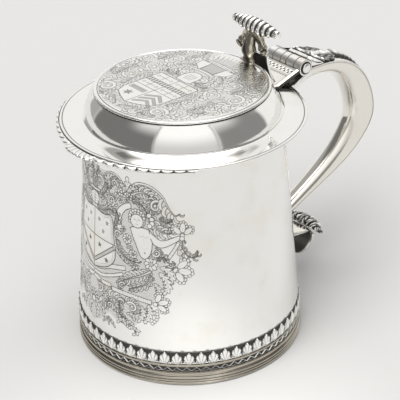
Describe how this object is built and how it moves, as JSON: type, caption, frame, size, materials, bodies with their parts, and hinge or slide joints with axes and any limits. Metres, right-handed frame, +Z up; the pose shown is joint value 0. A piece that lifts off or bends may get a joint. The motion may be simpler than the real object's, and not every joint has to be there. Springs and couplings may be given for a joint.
{
  "type": "lidded silver tankard",
  "caption": "Tapered silver tankard with a flat-topped hinged lid, corkscrew thumbpiece, leafy base band, engraved front and a hollow scroll handle.",
  "frame": {"origin": "middle of the whole object's outline on the table, at the height of the foot's bottom ring", "axes": "+X from the barrel towards the handle, +Y to the left of a viewer who looks along +X, +Z up along the barrel"},
  "size_m": [0.2276, 0.1424, 0.1868],
  "materials": {
    "polished_silver": "hand-polished sterling silver with fine wiping scratches and a faint warm tarnish",
    "engraved_silver": "polished sterling silver with bright-cut engraving, darker in the cuts",
    "oxidised_cast_silver": "cast silver ornament, bright on the high points and oxidised black in the recesses",
    "worn_hinge_silver": "worn drawn silver tube and pin with dark joints"
  },
  "bodies": {
    "tankard_body": {"barrel": "engraved_silver", "floor_plate": "polished_silver", "foot_moulding": "polished_silver", "foot_meander_wire": "oxidised_cast_silver", "base_fillet": "polished_silver", "leaf_band": "oxidised_cast_silver", "lip_moulding": "polished_silver", "fixed_knuckle_right": "worn_hinge_silver", "fixed_knuckle_centre": "worn_hinge_silver", "fixed_knuckle_left": "worn_hinge_silver", "hinge_pin": "worn_hinge_silver", "pin_head": "worn_hinge_silver", "pin_rivet": "worn_hinge_silver", "handle_strap": "polished_silver", "handle_channel": "polished_silver", "handle_root": "polished_silver", "hinge_cover": "polished_silver", "rat_tail": "oxidised_cast_silver", "handle_tail": "polished_silver", "terminal_crest": "oxidised_cast_silver", "terminal_shield": "polished_silver"},
    "lid": {"lid_shell": "polished_silver", "lid_top_disc": "engraved_silver", "lid_bezel": "polished_silver", "front_lip": "oxidised_cast_silver", "lid_knuckle_right": "worn_hinge_silver", "lid_knuckle_left": "worn_hinge_silver", "lid_hinge_plate": "polished_silver", "thumb_bar": "oxidised_cast_silver", "thumb_stem": "polished_silver", "thumb_arm_right": "oxidised_cast_silver", "thumb_arm_left": "oxidised_cast_silver", "thumb_apron": "oxidised_cast_silver"}
  },
  "joints": [
    {"name": "lid_hinge", "type": "hinge", "parent": "tankard_body", "child": "lid", "pos_m": [0.04556, 0, 0.1516], "axis": [0, 1, 0], "range_deg": [0, 100]}
  ]
}
